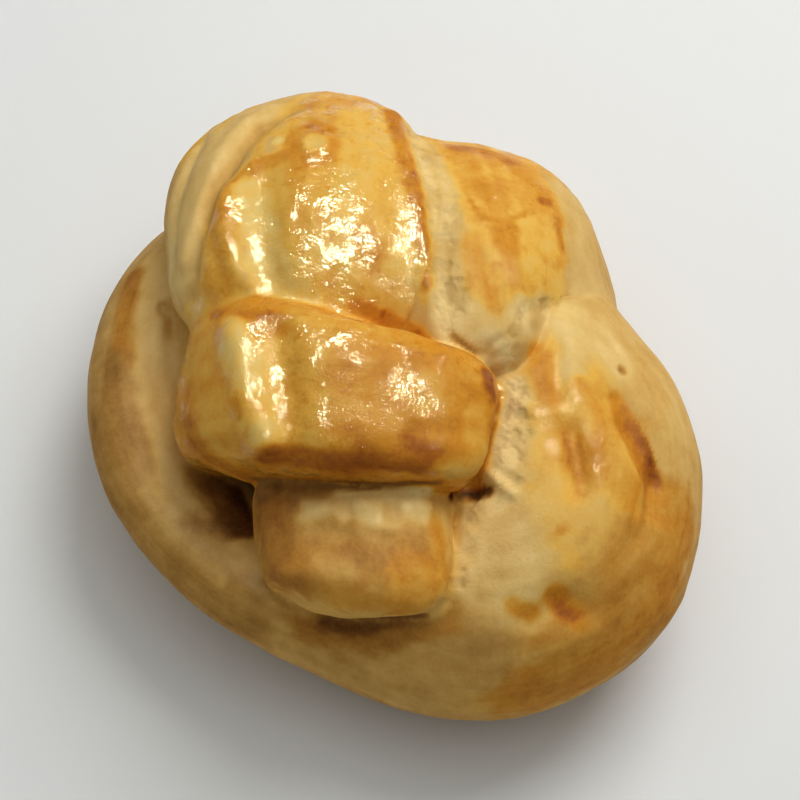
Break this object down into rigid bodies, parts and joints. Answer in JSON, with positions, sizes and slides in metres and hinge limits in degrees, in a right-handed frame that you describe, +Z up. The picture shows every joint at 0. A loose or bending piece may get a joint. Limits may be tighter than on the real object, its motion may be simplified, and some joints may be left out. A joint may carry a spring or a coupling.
{
  "type": "challah knot",
  "caption": "Baked roll of egg dough, one rope tied into a knot, with a domed glossy top and a flat underside to rest on.",
  "frame": {"origin": "centre of the bounding box at the underside, on the surface that the roll rests on", "axes": "+Z up; +Y from the front, where the rope's end comes out under the band, to the back, where the two lobes go down; +X to the right, towards the big lobe"},
  "size_m": [0.091, 0.098, 0.052],
  "materials": {
    "crust": "baked bread crust, golden to orange brown and glossy with egg wash on top, matte tan on the sides, pale cream in the creases"
  },
  "bodies": {
    "root": {"challah_knot": "crust"}
  },
  "joints": []
}
